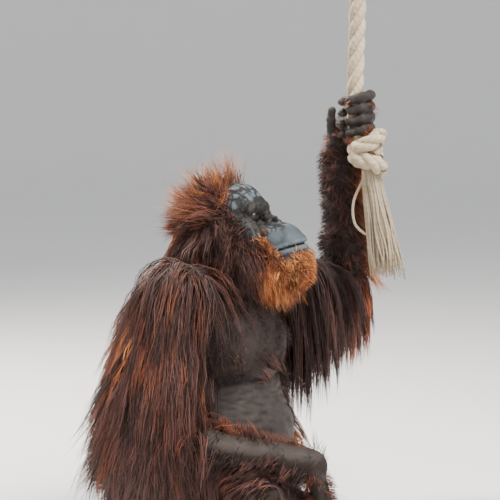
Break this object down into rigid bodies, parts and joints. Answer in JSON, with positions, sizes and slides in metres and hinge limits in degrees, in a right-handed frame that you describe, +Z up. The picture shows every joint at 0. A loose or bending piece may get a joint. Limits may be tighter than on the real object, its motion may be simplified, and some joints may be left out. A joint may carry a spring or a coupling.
{
  "type": "orangutan, life-size museum model",
  "caption": "Still life-size model of a seated long-haired orangutan that looks up, one forearm over its knee, the other hand gripping a cut length of knotted rope.",
  "frame": {"origin": "on the floor, on the flat under the seat", "axes": "+X the way the body faces, +Y its left side, +Z up"},
  "size_m": [0.5996, 0.9302, 1.1379],
  "materials": {
    "coat": "long coarse red-brown hair, orange at the thin edges",
    "skin": "bare dark grey skin, creased, with a dull sheen",
    "eye": "glossy dark brown",
    "rope": "pale natural fibre, laid in strands, frayed at its end"
  },
  "bodies": {
    "root": {"abdomen": "coat", "chest": "coat", "ear_l": "skin", "ear_r": "skin", "eye_l": "eye", "eye_r": "eye", "finger_l_index": "skin", "finger_l_little": "skin", "finger_l_middle": "skin", "finger_l_ring": "skin", "finger_r_index": "skin", "finger_r_little": "skin", "finger_r_middle": "skin", "finger_r_ring": "skin", "foot_l": "skin", "foot_r": "skin", "forearm_l": "coat", "forearm_r": "coat", "hand_l": "skin", "hand_r": "skin", "head": "coat", "neck": "coat", "rope": "rope", "rope_knot": "rope", "rope_tassel": "rope", "shin_l": "coat", "shin_r": "coat", "thigh_l": "coat", "thigh_r": "coat", "throat_pouch": "skin", "thumb_l": "skin", "thumb_r": "skin", "toe_l_big": "skin", "toe_l_fifth": "skin", "toe_l_fourth": "skin", "toe_l_second": "skin", "toe_l_third": "skin", "toe_r_big": "skin", "toe_r_fifth": "skin", "toe_r_fourth": "skin", "toe_r_second": "skin", "toe_r_third": "skin", "upper_arm_l": "coat", "upper_arm_r": "coat"}
  },
  "joints": []
}
